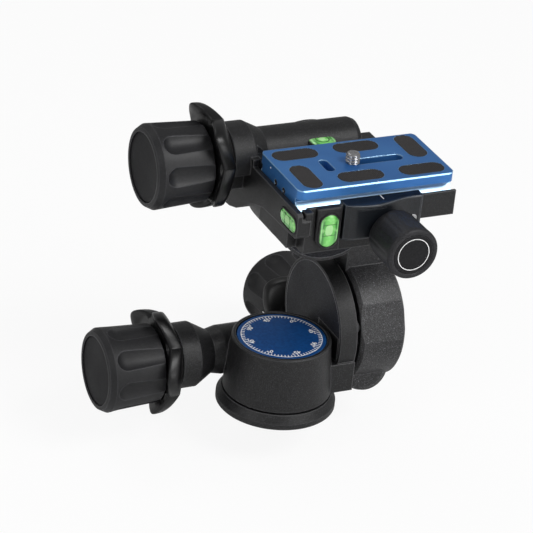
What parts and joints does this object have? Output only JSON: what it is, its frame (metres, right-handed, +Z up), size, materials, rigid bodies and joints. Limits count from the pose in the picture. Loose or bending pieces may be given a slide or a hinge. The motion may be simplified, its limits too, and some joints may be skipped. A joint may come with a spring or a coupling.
{
  "type": "geared three way tripod head",
  "caption": "Geared tripod head that pans and tilts in two directions by fluted knobs, with lobed quick-release rings and a dovetail camera plate.",
  "frame": {"origin": "mouth of the tripod thread, centre of the base's mounting face, on the pan axis", "axes": "+Z up along the pan axis, +X along the camera plate towards the side tilt housing, the pan and front tilt knobs at -X, the clamp's knob at -Y, the side tilt knob at +Y"},
  "size_m": [0.1394, 0.1351, 0.1421],
  "materials": {
    "housing_black": "fine black powder coat",
    "ring_black": "satin black anodised",
    "knob_rubber": "matte rubber-like black",
    "cap_black": "smooth black",
    "jaw_dark": "satin dark anodised",
    "plate_blue": "matte blue anodised",
    "dial_blue": "blue anodised with white marks",
    "pad_rubber": "matte",
    "steel": "turned",
    "bright_sleeve": "turned bright",
    "bearing": "plain bearing polymer",
    "brass": "machined",
    "vial_green": "clear green vial in a black case"
  },
  "bodies": {
    "base": {"base_disc": "housing_black", "tripod_thread_bush": "steel", "pan_worm_wheel": "brass", "pan_bearing_ring": "bearing", "pan_top_cap": "jaw_dark", "pan_cap_screws": "steel", "pan_dial": "dial_blue"},
    "pan_body": {"pan_housing": "housing_black", "side_axle": "steel", "side_axle_nut": "steel", "side_worm_wheel": "brass", "side_pivot_cover": "ring_black", "pan_release_spring": "steel"},
    "side_body": {"side_housing": "housing_black", "side_hub_bush": "bearing", "side_rear_cover": "ring_black", "side_cover_screws": "steel", "front_axle": "steel", "front_axle_nut": "steel", "front_worm_wheel": "brass", "front_pivot_cover": "ring_black", "side_release_spring": "steel"},
    "top_body": {"top_housing": "housing_black", "front_hub_bush": "bearing", "front_rear_cover": "ring_black", "top_housing_screws": "steel", "far_jaw": "jaw_dark", "round_level": "vial_green", "front_level": "vial_green", "side_level": "vial_green", "jaw_guide_pins": "steel", "jaw_spring": "steel", "front_release_spring": "steel"},
    "jaw_body": {"clamp_jaw": "jaw_dark"},
    "clamp_knob_body": {"clamp_screw": "steel", "clamp_knob": "ring_black", "clamp_knob_cap": "cap_black"},
    "plate_body": {"quick_release_plate": "plate_blue", "plate_pads": "pad_rubber", "plate_safety_screws": "steel"},
    "camera_washer_body": {"camera_screw_washer": "steel"},
    "camera_screw_body": {"camera_screw": "steel"},
    "pan_release_body": {"pan_eccentric_sleeve": "bright_sleeve", "pan_release_ring": "ring_black", "pan_worm_bushes": "bearing"},
    "pan_knob_body": {"pan_worm_shaft": "steel", "pan_knob": "knob_rubber", "pan_knob_cap": "cap_black"},
    "side_release_body": {"side_eccentric_sleeve": "bright_sleeve", "side_release_ring": "ring_black", "side_worm_bushes": "bearing"},
    "side_knob_body": {"side_worm_shaft": "steel", "side_knob": "knob_rubber", "side_knob_cap": "cap_black"},
    "front_release_body": {"front_eccentric_sleeve": "bright_sleeve", "front_release_ring": "ring_black", "front_worm_bushes": "bearing"},
    "front_knob_body": {"front_worm_shaft": "steel", "front_knob": "knob_rubber", "front_knob_cap": "cap_black"}
  },
  "joints": [
    {"name": "pan_turn", "type": "hinge", "parent": "base", "child": "pan_body", "pos_m": [0, 0, 0.0162], "axis": [0, 0, 1], "continuous": true},
    {"name": "pan_release_turn", "type": "hinge", "parent": "pan_body", "child": "pan_release_body", "pos_m": [0, 0.01849, 0.017], "axis": [1, 0, 0], "range_deg": [0, 60], "stiffness_Nm_per_rad": 0.06, "springref_deg": -34.38},
    {"name": "pan_knob_turn", "type": "hinge", "parent": "pan_release_body", "child": "pan_knob_body", "pos_m": [0, 0.0171, 0.0162], "axis": [1, 0, 0], "continuous": true},
    {"name": "side_tilt", "type": "hinge", "parent": "pan_body", "child": "side_body", "pos_m": [0.0396, 0.015, 0.027], "axis": [1, 0, 0], "range_deg": [-30, 85]},
    {"name": "side_release_turn", "type": "hinge", "parent": "side_body", "child": "side_release_body", "pos_m": [0.0404, 0.01339, 0.00858], "axis": [0, -0.9962, 0.0872], "range_deg": [0, 60], "stiffness_Nm_per_rad": 0.06, "springref_deg": -34.38},
    {"name": "side_knob_turn", "type": "hinge", "parent": "side_release_body", "child": "side_knob_body", "pos_m": [0.0396, 0.01351, 0.00997], "axis": [0, -0.9962, 0.0872], "continuous": true},
    {"name": "front_tilt", "type": "hinge", "parent": "side_body", "child": "top_body", "pos_m": [0.022, 0.0315, 0.0835], "axis": [0, 1, 0], "range_deg": [-28, 55]},
    {"name": "front_release_turn", "type": "hinge", "parent": "top_body", "child": "front_release_body", "pos_m": [0.022, 0.0307, 0.10199], "axis": [1, 0, 0], "range_deg": [0, 60], "stiffness_Nm_per_rad": 0.06, "springref_deg": -34.38},
    {"name": "front_knob_turn", "type": "hinge", "parent": "front_release_body", "child": "front_knob_body", "pos_m": [0.022, 0.0315, 0.1006], "axis": [1, 0, 0], "continuous": true},
    {"name": "jaw_slide", "type": "slide", "parent": "top_body", "child": "jaw_body", "axis": [0, -1, 0], "range_m": [0, 0.005]},
    {"name": "clamp_knob_turn", "type": "hinge", "parent": "jaw_body", "child": "clamp_knob_body", "pos_m": [0.029, -0.04, 0.0907], "axis": [0, -1, 0], "range_deg": [0, 1800]},
    {"name": "plate_slide", "type": "slide", "parent": "top_body", "child": "plate_body", "axis": [1, 0, 0], "range_m": [0, 0.02]},
    {"name": "camera_screw_slide", "type": "slide", "parent": "plate_body", "child": "camera_washer_body", "axis": [1, 0, 0], "range_m": [0, 0.0203]},
    {"name": "camera_screw_turn", "type": "hinge", "parent": "camera_washer_body", "child": "camera_screw_body", "pos_m": [0.0215, -0.004, 0.105], "axis": [0, 0, 1], "continuous": true}
  ],
  "couplings": [
    {"joint": "pan_knob_turn", "follows": "pan_turn", "ratio": -45},
    {"joint": "side_knob_turn", "follows": "side_tilt", "ratio": -45},
    {"joint": "front_knob_turn", "follows": "front_tilt", "ratio": 45},
    {"joint": "clamp_knob_turn", "follows": "jaw_slide", "rad_per_m": 6283.2}
  ]
}
